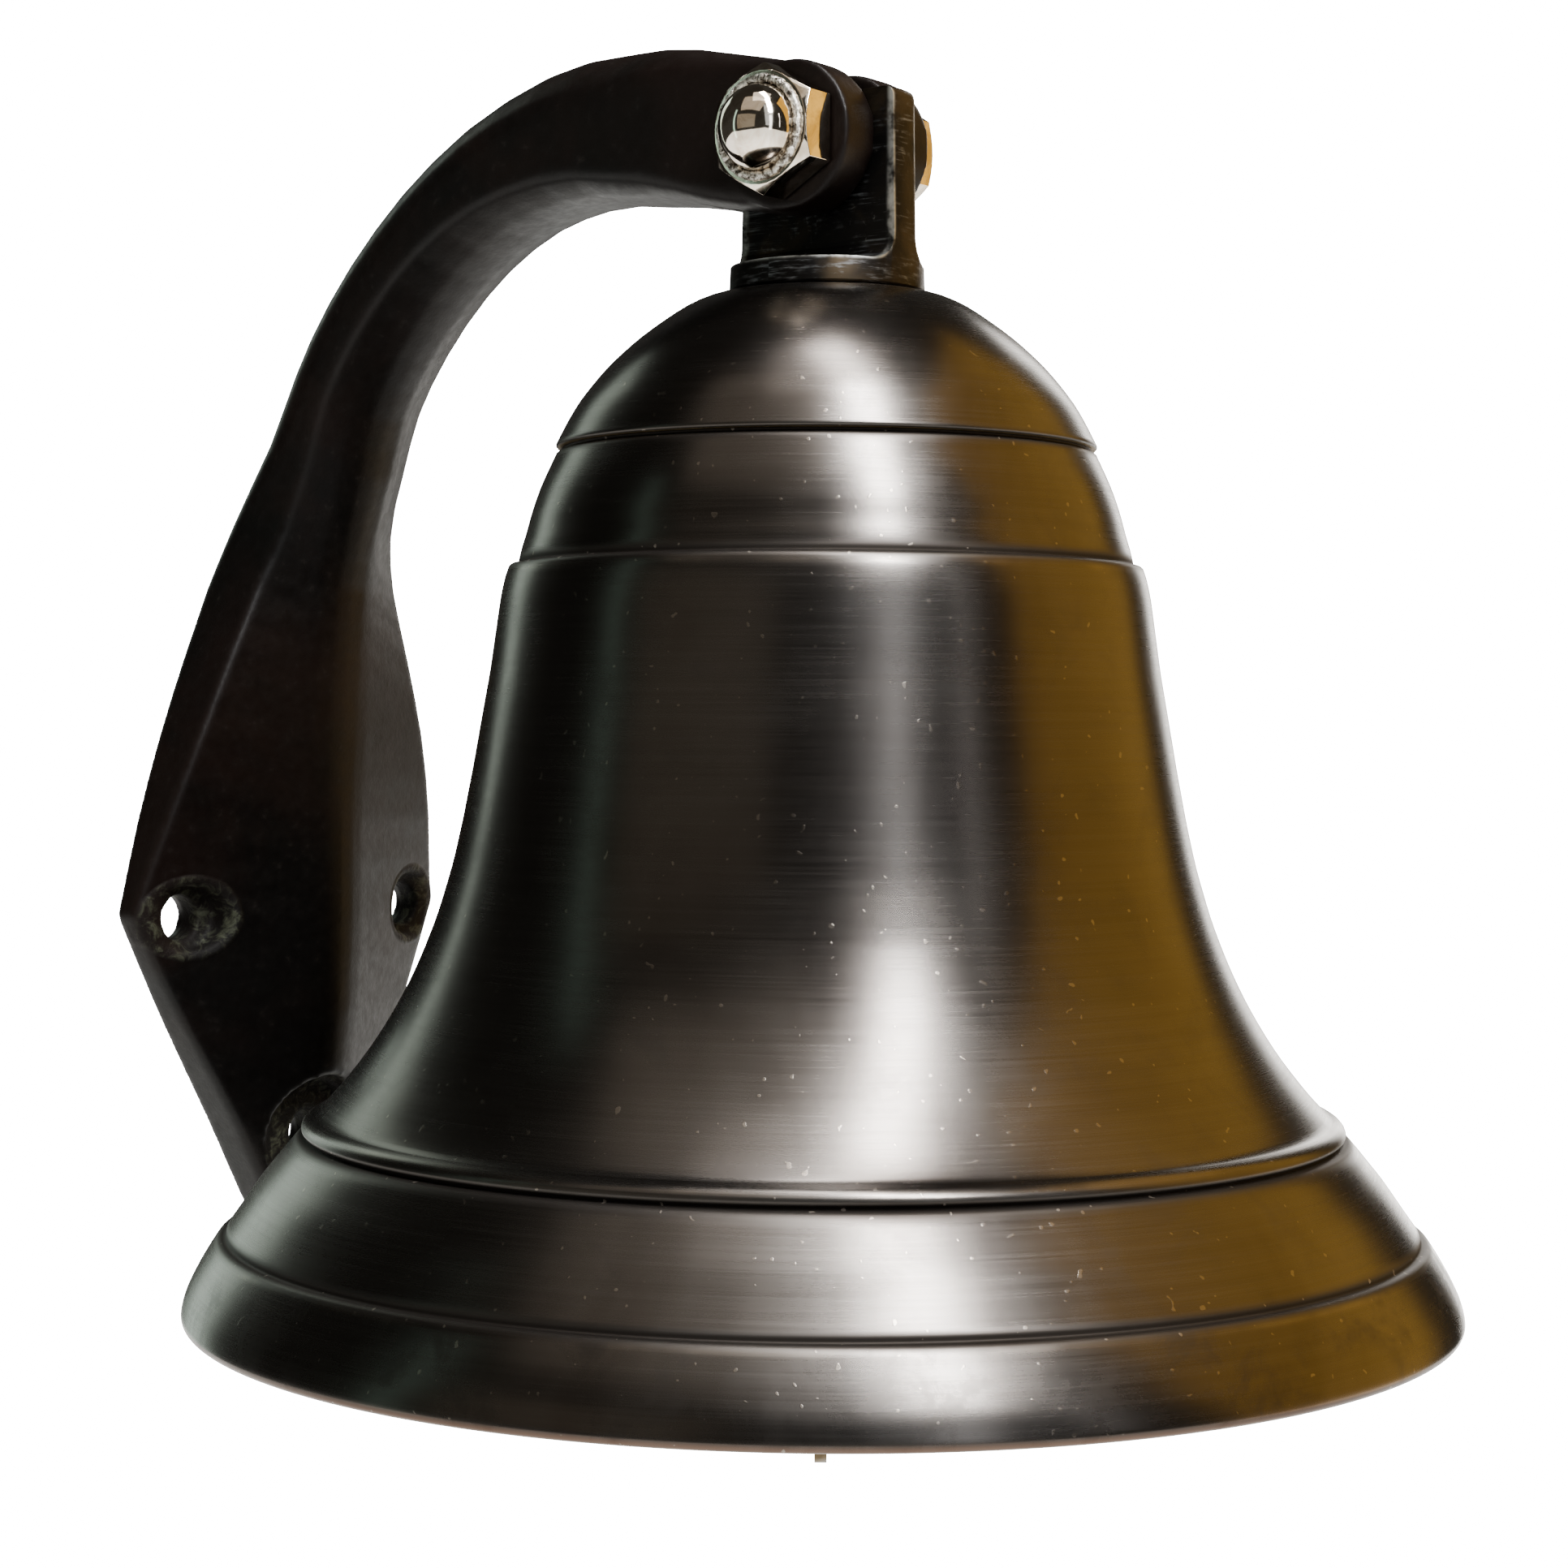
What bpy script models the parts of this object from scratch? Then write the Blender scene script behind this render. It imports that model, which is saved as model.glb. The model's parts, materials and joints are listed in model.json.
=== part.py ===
"""Ship bell on a cast wall bracket, built piece by piece in metres, +Z up.

The wall plane is Y = 0 and the bell stands out towards -Y. The origin is on the
bracket's flat back, straight below the arm and level with the bell's mouth.
"""
import math

import bmesh
import bpy
from mathutils import Matrix, Vector

MM = 0.001

# Bell
MOUTH_RADIUS = 101.6 * MM
WALL_TO_BELL_AXIS = 127.0 * MM
CROWN_TOP_Z = 161.9 * MM
CROWN_UNDERSIDE_Z = 155.4 * MM
CROWN_HOLE_RADIUS = 6.3 * MM

# Pivot bolt
PIVOT_Z = 186.0 * MM
BOLT_RADIUS = 6.0 * MM
BOLT_HOLE_RADIUS = 6.3 * MM
HEX_ACROSS_FLATS = 18.0 * MM

# Fork of the bracket
EAR_RADIUS = 12.0 * MM
FORK_HALF_WIDTH = 11.5 * MM
SLOT_HALF_WIDTH = 3.6 * MM
SLOT_DEPTH_BEHIND_BOLT = 24.0 * MM

# Back plate of the bracket
SIDE_HOLE_X = 28.0 * MM
SIDE_HOLE_Z = 58.0 * MM
BOTTOM_HOLE_Z = 17.0 * MM
SCREW_HOLE_RADIUS = 4.1 * MM

# Crown lug
LUG_BASE_RADIUS = 15.7 * MM
LUG_TOP_RADIUS = 15.0 * MM
TANG_HALF_WIDTH = 2.95 * MM
TANG_TOP_Z = 193.5 * MM
SHOULDER_Z = 166.2 * MM
SHOULDER_FILLET = 4.0 * MM
STUD_RADIUS = 6.0 * MM
EYE_HOLE_RADIUS = 3.2 * MM
STUD_EYE_Z = 131.0 * MM

# Clapper
LINK_RADIUS = 8.5 * MM
LINK_WIRE_RADIUS = 1.6 * MM
LINK_TOP_Z = 130.0 * MM
LINK_CENTRE_Z = LINK_TOP_Z - LINK_RADIUS
ROD_RADIUS = 3.5 * MM
ROD_EYE_Z = LINK_CENTRE_Z - LINK_RADIUS - 1.0 * MM
BALL_RADIUS = 15.0 * MM
BALL_Z = 16.0 * MM
TAIL_END_Z = -26.2 * MM
TAIL_TURN = math.radians(36.0)

GAP = 0.3 * MM

BELL_AXIS = Vector((0.0, -WALL_TO_BELL_AXIS, 0.0))
PIVOT = Vector((0.0, -WALL_TO_BELL_AXIS, PIVOT_Z))
LINK_PIVOT = Vector((0.0, -WALL_TO_BELL_AXIS, LINK_TOP_Z))
CLAPPER_PIVOT = Vector((0.0, -WALL_TO_BELL_AXIS, LINK_CENTRE_Z))


def clear_scene():
    for existing in list(bpy.data.objects):
        bpy.data.objects.remove(existing, do_unlink=True)


def make_material(name, colour, metallic, roughness):
    material = bpy.data.materials.new(name)
    material.use_nodes = True
    shader = material.node_tree.nodes["Principled BSDF"]
    shader.inputs["Base Color"].default_value = (*colour, 1.0)
    shader.inputs["Metallic"].default_value = metallic
    shader.inputs["Roughness"].default_value = roughness
    return material


def cutter_collection():
    collection = bpy.data.collections.get("cutters")
    if collection is None:
        collection = bpy.data.collections.new("cutters")
        bpy.context.scene.collection.children.link(collection)
    return collection


def add_object(name, mesh, origin, material=None):
    """Link a mesh whose coordinates are measured from the given origin."""
    item = bpy.data.objects.new(name, mesh)
    item.location = origin
    bpy.context.scene.collection.objects.link(item)
    if material is not None:
        mesh.materials.append(material)
    return item


def make_cutter(item):
    """Keep a helper shape for Booleans out of the finished part."""
    for collection in list(item.users_collection):
        collection.objects.unlink(item)
    cutter_collection().objects.link(item)
    item.hide_render = True
    item.display_type = "WIRE"
    return item


def add_boolean(item, other, operation):
    modifier = item.modifiers.new(other.name, "BOOLEAN")
    modifier.operation = operation
    modifier.solver = "EXACT"
    modifier.object = make_cutter(other)


def shade(item, angle=35.0):
    item.data.shade_smooth()
    item.data.set_sharp_from_angle(angle=math.radians(angle))


def turned(name, profile, origin, material=None, steps=48):
    """Turn a closed outline of (radius, height) points about the vertical axis."""
    mesh = bpy.data.meshes.new(name)
    points = [(radius, 0.0, height) for radius, height in profile]
    count = len(points)
    on_axis = profile[0][0] < 1e-9 and profile[-1][0] < 1e-9
    edges = [(i, i + 1) for i in range(count - 1)]
    if not on_axis:
        edges.append((count - 1, 0))
    mesh.from_pydata(points, edges, [])
    item = add_object(name, mesh, origin, material)
    screw = item.modifiers.new("turn", "SCREW")
    screw.axis = "Z"
    screw.angle = math.radians(360.0)
    screw.steps = steps
    screw.render_steps = steps
    screw.use_merge_vertices = True
    screw.merge_threshold = 0.00001
    screw.use_smooth_shade = True
    screw.use_normal_calculate = True
    return item


def applied(item):
    """Replace an object's mesh by the mesh its modifiers give."""
    depsgraph = bpy.context.evaluated_depsgraph_get()
    mesh = bpy.data.meshes.new_from_object(item.evaluated_get(depsgraph))
    work = bmesh.new()
    work.from_mesh(mesh)
    bmesh.ops.remove_doubles(work, verts=work.verts, dist=0.000002)
    bmesh.ops.recalc_face_normals(work, faces=work.faces)
    work.to_mesh(mesh)
    work.free()
    item.modifiers.clear()
    item.data = mesh
    return item


def block(name, low, high, origin=Vector((0.0, 0.0, 0.0)), material=None):
    """An upright box between two opposite corners given in world metres."""
    low = Vector(low)
    high = Vector(high)
    work = bmesh.new()
    bmesh.ops.create_cube(work, size=1.0)
    for vertex in work.verts:
        for axis in range(3):
            span = high[axis] - low[axis]
            vertex.co[axis] = vertex.co[axis] * span + (high[axis] + low[axis]) / 2.0 - origin[axis]
    mesh = bpy.data.meshes.new(name)
    work.to_mesh(mesh)
    work.free()
    return add_object(name, mesh, origin, material)


def cylinder(name, centre, axis, radius, length, segments=40, end_radius=None, scale=(1.0, 1.0)):
    """A cylinder or cone along +X, -X, +Y, -Y or Z, growing from its centre both ways."""
    work = bmesh.new()
    bmesh.ops.create_cone(
        work,
        cap_ends=True,
        segments=segments,
        radius1=radius,
        radius2=radius if end_radius is None else end_radius,
        depth=length,
    )
    turn = Vector((0.0, 0.0, 1.0)).rotation_difference(Vector(axis)).to_matrix()
    for vertex in work.verts:
        vertex.co.x *= scale[0]
        vertex.co.y *= scale[1]
        vertex.co = turn @ vertex.co
    mesh = bpy.data.meshes.new(name)
    work.to_mesh(mesh)
    work.free()
    return add_object(name, mesh, Vector(centre))


def plate_from_outline(name, outline, axis, start, end, origin, material=None):
    """A prism whose (a, b) outline is swept along X or Y between two offsets."""
    work = bmesh.new()
    rings = []
    for offset in (start, end):
        ring = []
        for a, b in outline:
            if axis == "X":
                ring.append(work.verts.new((offset, a, b)))
            else:
                ring.append(work.verts.new((a, offset, b)))
        rings.append(ring)
    count = len(outline)
    work.faces.new(rings[0])
    work.faces.new(list(reversed(rings[1])))
    for i in range(count):
        j = (i + 1) % count
        work.faces.new((rings[0][i], rings[1][i], rings[1][j], rings[0][j]))
    bmesh.ops.recalc_face_normals(work, faces=work.faces)
    mesh = bpy.data.meshes.new(name)
    work.to_mesh(mesh)
    work.free()
    return add_object(name, mesh, origin, material)


def arc(centre, radius, start_deg, end_deg, count):
    """Points along a circular arc, both ends included."""
    points = []
    for i in range(count + 1):
        angle = math.radians(start_deg + (end_deg - start_deg) * i / count)
        points.append((centre[0] + radius * math.cos(angle), centre[1] + radius * math.sin(angle)))
    return points


# ---------------------------------------------------------------- wall bracket

# Each station: height or place of the back point (y, z), tilt of the section, then the
# section's half-width, side start, side end, ridge height, half-width of the back flat
# and half-width of the ridge band. All in millimetres and degrees.
BRACKET_STATIONS = [
    (0.0, -3.4, 0.0, 2.6, 0.4, 7.4, 9.0, 2.2, 1.0),
    (0.0, -1.4, 0.0, 4.8, 0.5, 8.2, 10.2, 4.3, 1.5),
    (0.0, 20.0, 0.0, 16.8, 0.5, 8.8, 14.0, 16.3, 2.5),
    (0.0, 40.0, 0.0, 28.4, 0.5, 6.8, 17.3, 27.9, 2.5),
    (0.0, 56.0, 0.0, 36.8, 0.5, 5.2, 18.0, 36.3, 2.5),
    (0.0, 58.8, 0.0, 38.0, 0.5, 5.0, 18.0, 37.5, 2.5),
    (0.0, 62.0, 0.0, 37.2, 0.5, 5.3, 18.0, 36.7, 2.5),
    (0.0, 75.0, 0.0, 33.7, 0.5, 8.4, 18.0, 33.2, 2.5),
    (0.0, 90.0, 0.0, 28.7, 0.6, 11.3, 18.4, 28.1, 3.0),
    (0.0, 105.0, 0.0, 22.8, 0.8, 13.0, 19.4, 21.8, 3.0),
    (0.0, 117.0, 0.0, 17.8, 1.2, 14.2, 20.6, 16.2, 3.2),
    (-1.4, 129.0, 7.0, 14.2, 3.0, 15.5, 21.8, 11.0, 3.5),
    (-7.4, 144.0, 21.0, 12.9, 5.0, 14.8, 20.4, 7.0, 4.0),
    (-13.2, 157.2, 31.5, 12.8, 6.0, 14.4, 19.2, 6.0, 4.0),
    (-21.8, 169.8, 42.0, 12.8, 6.0, 14.6, 18.8, 6.0, 4.2),
    (-33.3, 181.8, 53.0, 12.8, 6.0, 15.0, 18.8, 6.0, 4.5),
    (-47.2, 192.3, 65.0, 12.8, 6.0, 16.2, 19.6, 6.0, 5.0),
    (-63.8, 200.4, 77.0, 12.7, 6.0, 18.4, 21.5, 6.0, 6.0),
    (-82.0, 204.4, 88.0, 12.5, 6.0, 20.6, 23.4, 6.5, 7.0),
    (-99.0, 203.9, 95.0, 12.0, 4.6, 21.8, 24.4, 8.0, 8.3),
    (-113.0, 201.2, 98.0, 11.4, 2.5, 22.6, 24.4, 9.2, 9.6),
    (-127.0, 197.9, 92.0, 11.1, 1.2, 22.8, 24.0, 10.0, 10.0),
]
STEPS_BETWEEN_STATIONS = 2


def smooth_table(rows, steps):
    """Sample rows of numbers between stations with a curve that never overshoots."""
    sampled = []
    count = len(rows)
    columns = len(rows[0])
    slopes = []
    for k in range(columns):
        column = [row[k] for row in rows]
        differences = [column[i + 1] - column[i] for i in range(count - 1)]
        slope = [differences[0]]
        for i in range(1, count - 1):
            product = differences[i - 1] * differences[i]
            if product <= 0.0:
                slope.append(0.0)
            else:
                slope.append(2.0 * product / (differences[i - 1] + differences[i]))
        slope.append(differences[-1])
        slopes.append(slope)
    for i in range(count - 1):
        for s in range(steps):
            t = s / steps
            a = 2 * t ** 3 - 3 * t ** 2 + 1
            b = t ** 3 - 2 * t ** 2 + t
            c = -2 * t ** 3 + 3 * t ** 2
            d = t ** 3 - t ** 2
            row = []
            for k in range(columns):
                value = a * rows[i][k] + b * slopes[k][i] + c * rows[i + 1][k] + d * slopes[k][i + 1]
                row.append(value)
            sampled.append(row)
    sampled.append(list(rows[-1]))
    return sampled


def rounded_outline(corners):
    """Replace every (x, y, radius) corner by the start, middle and end of a soft bend."""
    outline = []
    count = len(corners)
    for i in range(count):
        here = Vector(corners[i][:2])
        before = Vector(corners[i - 1][:2])
        after = Vector(corners[(i + 1) % count][:2])
        reach_back = min(corners[i][2], 0.45 * (before - here).length)
        reach_on = min(corners[i][2], 0.45 * (after - here).length)
        start = here + (before - here).normalized() * reach_back
        end = here + (after - here).normalized() * reach_on
        middle = start * 0.25 + here * 0.5 + end * 0.25
        outline.extend([start, middle, end])
    return outline


def bracket_section(row):
    """One closed ring of world points around the bracket at a station."""
    back_y, back_z, tilt, width, side_start, side_end, ridge, flat_back, flat_ridge = row
    softness = 0.6 + 3.0 * min(1.0, side_start / 7.0)
    corners = [
        (flat_back, 0.0, softness),
        (width, side_start, softness),
        (width, side_end, 0.9),
        (flat_ridge, ridge, 3.5),
        (-flat_ridge, ridge, 3.5),
        (-width, side_end, 0.9),
        (-width, side_start, softness),
        (-flat_back, 0.0, softness),
    ]
    angle = math.radians(tilt)
    ring = []
    for across, height in rounded_outline(corners):
        y = back_y - height * math.cos(angle)
        z = back_z - height * math.sin(angle)
        ring.append(Vector((across, y, z)) * MM)
    return ring


def build_bracket(material):
    work = bmesh.new()
    rings = []
    for row in smooth_table(BRACKET_STATIONS, STEPS_BETWEEN_STATIONS):
        rings.append([work.verts.new(point) for point in bracket_section(row)])
    for lower, upper in zip(rings, rings[1:]):
        count = len(lower)
        for i in range(count):
            j = (i + 1) % count
            work.faces.new((lower[i], lower[j], upper[j], upper[i]))
    work.faces.new(list(reversed(rings[0])))
    work.faces.new(rings[-1])
    bmesh.ops.recalc_face_normals(work, faces=work.faces)
    mesh = bpy.data.meshes.new("wall_bracket")
    work.to_mesh(mesh)
    work.free()
    bracket = add_object("wall_bracket", mesh, Vector((0.0, 0.0, 0.0)), material)

    fork_end = cylinder("fork_end", PIVOT, (1, 0, 0), EAR_RADIUS, 2 * FORK_HALF_WIDTH, segments=48)
    add_boolean(bracket, fork_end, "UNION")

    slot = block(
        "fork_slot",
        (-SLOT_HALF_WIDTH, PIVOT.y - 30 * MM, 150 * MM),
        (SLOT_HALF_WIDTH, PIVOT.y + SLOT_DEPTH_BEHIND_BOLT, 220 * MM),
    )
    add_boolean(bracket, slot, "DIFFERENCE")
    bolt_hole = cylinder("bolt_hole", PIVOT, (1, 0, 0), BOLT_HOLE_RADIUS, 60 * MM, segments=32)
    add_boolean(bracket, bolt_hole, "DIFFERENCE")

    for side in (-1, 1):
        centre = Vector((side * SIDE_HOLE_X, -10 * MM, SIDE_HOLE_Z))
        through = cylinder("screw_hole", centre, (0, 1, 0), SCREW_HOLE_RADIUS, 40 * MM, segments=28)
        add_boolean(bracket, through, "DIFFERENCE")
        mouth = Vector((side * SIDE_HOLE_X, -12.0 * MM, SIDE_HOLE_Z))
        recess = cylinder(
            "screw_recess",
            mouth,
            (0, -1, 0),
            5.7 * MM,
            12 * MM,
            segments=32,
            end_radius=7.4 * MM,
            scale=(1.22, 1.0),
        )
        add_boolean(bracket, recess, "DIFFERENCE")

    low = Vector((0.0, -10 * MM, BOTTOM_HOLE_Z))
    through = cylinder("low_screw_hole", low, (0, 1, 0), SCREW_HOLE_RADIUS, 40 * MM, segments=28)
    add_boolean(bracket, through, "DIFFERENCE")
    seat = Vector((0.0, -19.0 * MM, BOTTOM_HOLE_Z))
    spot_face = cylinder("low_spot_face", seat, (0, 1, 0), 11.0 * MM, 20 * MM, segments=36)
    add_boolean(bracket, spot_face, "DIFFERENCE")
    shade(bracket, 38.0)
    return bracket


# ---------------------------------------------------------------- bolt and nuts


def hex_blank(name, length, axis, centre, across_flats, chamfer, both_ends, turn_deg=0.0):
    """A hexagonal blank with its corners chamfered at one end or both."""
    radius = across_flats / math.sqrt(3.0)
    work = bmesh.new()
    bmesh.ops.create_cone(work, cap_ends=True, segments=6, radius1=radius, radius2=radius, depth=length)
    turn = math.radians(turn_deg)
    for vertex in work.verts:
        x, y = vertex.co.x, vertex.co.y
        vertex.co.x = x * math.cos(turn) - y * math.sin(turn)
        vertex.co.y = x * math.sin(turn) + y * math.cos(turn)
    mesh = bpy.data.meshes.new(name)
    work.to_mesh(mesh)
    work.free()
    item = add_object(name, mesh, Vector((0.0, 0.0, 0.0)))
    half = length / 2.0
    rim = radius * 1.05
    face = across_flats / 2.0 * 0.985
    profile = [(0.0, half), (face, half), (rim, half - chamfer)]
    if both_ends:
        profile += [(rim, -half + chamfer), (face, -half), (0.0, -half)]
    else:
        profile += [(rim, -half - 1 * MM), (0.0, -half - 1 * MM)]
    rounder = applied(turned(name + "_chamfer", profile, Vector((0.0, 0.0, 0.0)), steps=36))
    add_boolean(item, rounder, "INTERSECT")
    applied(item)
    spin = Vector((0.0, 0.0, 1.0)).rotation_difference(Vector(axis)).to_matrix().to_4x4()
    item.data.transform(spin)
    item.location = centre
    return item


def give_material(item, material):
    item.data.materials.clear()
    item.data.materials.append(material)


def build_bolt_set(steel, chrome):
    hex_start = FORK_HALF_WIDTH + GAP
    nut_length = 6.4 * MM
    nut_end = hex_start + nut_length
    head_length = 5.0 * MM
    shank_end = nut_end - 0.3 * MM

    bolt = hex_blank(
        "pivot_bolt",
        head_length,
        (1, 0, 0),
        Vector((0.0, 0.0, 0.0)),
        HEX_ACROSS_FLATS,
        1.6 * MM,
        False,
        turn_deg=30.0,
    )
    bolt.data.transform(Matrix.Translation(Vector((hex_start + head_length / 2.0, 0.0, 0.0))))
    bolt.location = PIVOT
    shank_length = shank_end + hex_start + 2 * MM
    shank_middle = PIVOT + Vector(((hex_start + 2 * MM - shank_end) / 2.0, 0.0, 0.0))
    shank = cylinder("bolt_shank", shank_middle, (1, 0, 0), BOLT_RADIUS, shank_length, segments=32)
    add_boolean(bolt, shank, "UNION")
    give_material(bolt, steel)
    shade(bolt, 25.0)

    nut = hex_blank(
        "cap_nut_hex",
        nut_length,
        (-1, 0, 0),
        PIVOT - Vector((hex_start + nut_length / 2.0, 0.0, 0.0)),
        HEX_ACROSS_FLATS,
        1.6 * MM,
        False,
        turn_deg=30.0,
    )
    bore = cylinder("cap_nut_bore", nut.location, (1, 0, 0), BOLT_RADIUS + 0.15 * MM, 20 * MM, segments=32)
    add_boolean(nut, bore, "DIFFERENCE")
    give_material(nut, chrome)
    shade(nut, 25.0)

    dome_radius = 6.9 * MM
    wall = 0.9 * MM
    inner = dome_radius - wall
    lip = 0.2 * MM
    sink = 0.7 * MM
    outer_end = math.degrees(math.asin((sink + lip) / dome_radius))
    inner_end = math.degrees(math.asin((sink + lip) / inner))
    outline = list(reversed(arc((0.0, -sink), dome_radius, outer_end, 90.0, 9)))
    outline += arc((0.0, -sink), inner, inner_end, 90.0, 6)
    dome = applied(turned("cap_nut_dome", outline, Vector((0.0, 0.0, 0.0)), chrome, steps=32))
    spin = Vector((0.0, 0.0, 1.0)).rotation_difference(Vector((-1.0, 0.0, 0.0))).to_matrix().to_4x4()
    dome.data.transform(spin)
    dome.location = PIVOT - Vector((nut_end, 0.0, 0.0))
    give_material(dome, chrome)
    shade(dome, 40.0)


# ---------------------------------------------------------------- bell and lug


def bell_outline():
    """Outer side from the crown down to the lip, then back up the inside."""
    outer = [
        (0.1400, 1.5935), (0.1660, 1.5925), (0.1950, 1.5850), (0.2260, 1.5705), (0.2603, 1.5478),
        (0.2949, 1.5219),
        (0.3244, 1.4961), (0.3500, 1.4704), (0.3717, 1.4447), (0.3909, 1.4190), (0.4063, 1.3934),
        (0.4200, 1.3679), (0.4262, 1.3555), (0.4235, 1.3490), (0.4165, 1.3470), (0.4165, 1.3425),
        (0.4250, 1.3400), (0.4365, 1.3170), (0.4575, 1.2660), (0.4722, 1.2152), (0.4845, 1.1720),
        (0.4845, 1.1680), (0.4935, 1.1660), (0.5040, 1.1500), (0.5175, 1.0755), (0.5282, 0.9995),
        (0.5414, 0.9235), (0.5546, 0.8476),
        (0.5690, 0.7717), (0.5860, 0.6959), (0.6080, 0.6204), (0.6374, 0.5452), (0.6742, 0.4705),
        (0.7209, 0.3966), (0.7600, 0.3440), (0.7900, 0.3140), (0.7985, 0.3100), (0.8110, 0.3020),
        (0.8180, 0.2920), (0.8165, 0.2850), (0.8125, 0.2810), (0.8230, 0.2780), (0.8600, 0.2330),
        (0.9000, 0.1809), (0.9330, 0.1370), (0.9320, 0.1290), (0.9430, 0.1270), (0.9500, 0.1190),
        (0.9762, 0.0749), (0.9934, 0.0393), (1.0000, 0.0140), (0.9980, 0.0040), (0.9900, 0.0000),
    ]
    inner = [
        (0.9420, 0.0000), (0.9360, 0.0040), (0.9300, 0.0200), (0.8950, 0.0950), (0.8300, 0.1950),
        (0.7700, 0.2780), (0.6950, 0.3700), (0.6320, 0.4750), (0.5840, 0.5900), (0.5480, 0.7200),
        (0.5190, 0.8700), (0.4930, 1.0200), (0.4700, 1.1500), (0.4350, 1.2500), (0.3800, 1.3600),
        (0.3150, 1.4450), (0.2400, 1.5000), (0.1900, 1.5200),
    ]
    points = [(r * MOUTH_RADIUS, z * MOUTH_RADIUS) for r, z in outer + inner]
    points += [(13.0 * MM, CROWN_UNDERSIDE_Z), (CROWN_HOLE_RADIUS, CROWN_UNDERSIDE_Z)]
    return [(CROWN_HOLE_RADIUS, CROWN_TOP_Z)] + points


def build_bell(material):
    outline = [(r, z - PIVOT_Z) for r, z in bell_outline()]
    bell = turned("bell_shell", outline, PIVOT, material, steps=48)
    applied(bell)
    give_material(bell, material)
    shade(bell, 32.0)
    return bell


def build_crown_lug(material):
    base = CROWN_TOP_Z + GAP - PIVOT_Z
    top = TANG_TOP_Z - PIVOT_Z
    rounding = 1.6 * MM
    cone = [(0.0, top)]
    cone += list(reversed(arc((LUG_TOP_RADIUS - rounding, top - rounding), rounding, 0.0, 90.0, 4)))
    cone += [
        (LUG_BASE_RADIUS - 0.3 * MM, base + 8 * MM),
        (LUG_BASE_RADIUS, base + 0.3 * MM),
        (LUG_BASE_RADIUS - 0.2 * MM, base),
        (STUD_RADIUS, base),
    ]
    cone += [(STUD_RADIUS, 139.0 * MM - PIVOT_Z), (STUD_RADIUS - 0.8 * MM, 138.2 * MM - PIVOT_Z)]
    cone += [(STUD_RADIUS - 0.8 * MM, 128.0 * MM - PIVOT_Z), (3.2 * MM, 124.6 * MM - PIVOT_Z)]
    cone += [(0.0, 124.4 * MM - PIVOT_Z)]
    lug = applied(turned("crown_lug", cone, PIVOT, material, steps=48))

    shoulder = SHOULDER_Z - PIVOT_Z
    fillet = SHOULDER_FILLET
    side = [(-20 * MM, shoulder), (-TANG_HALF_WIDTH - fillet, shoulder)]
    side += arc((-TANG_HALF_WIDTH - fillet, shoulder + fillet), fillet, -90.0, 0.0, 6)[1:]
    side += [(-TANG_HALF_WIDTH, 20 * MM), (-20 * MM, 20 * MM)]
    for name, mirror in (("mill_left", 1), ("mill_right", -1)):
        outline = [(mirror * x, z) for x, z in side]
        mill = plate_from_outline(name, outline, "Y", -20 * MM, 20 * MM, PIVOT)
        add_boolean(lug, mill, "DIFFERENCE")

    bolt_hole = cylinder("tang_hole", PIVOT, (1, 0, 0), BOLT_HOLE_RADIUS, 30 * MM, segments=32)
    add_boolean(lug, bolt_hole, "DIFFERENCE")
    for name, low, high in (("eye_flat_left", -9.0, -2.5), ("eye_flat_right", 2.5, 9.0)):
        flat = block(name, (low * MM, PIVOT.y - 9 * MM, 120 * MM), (high * MM, PIVOT.y + 9 * MM, 137 * MM))
        add_boolean(lug, flat, "DIFFERENCE")
    eye_place = Vector((0.0, PIVOT.y, STUD_EYE_Z))
    eye = cylinder("stud_eye", eye_place, (1, 0, 0), EYE_HOLE_RADIUS, 20 * MM, segments=24)
    add_boolean(lug, eye, "DIFFERENCE")
    give_material(lug, material)
    shade(lug, 30.0)
    return lug


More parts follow.
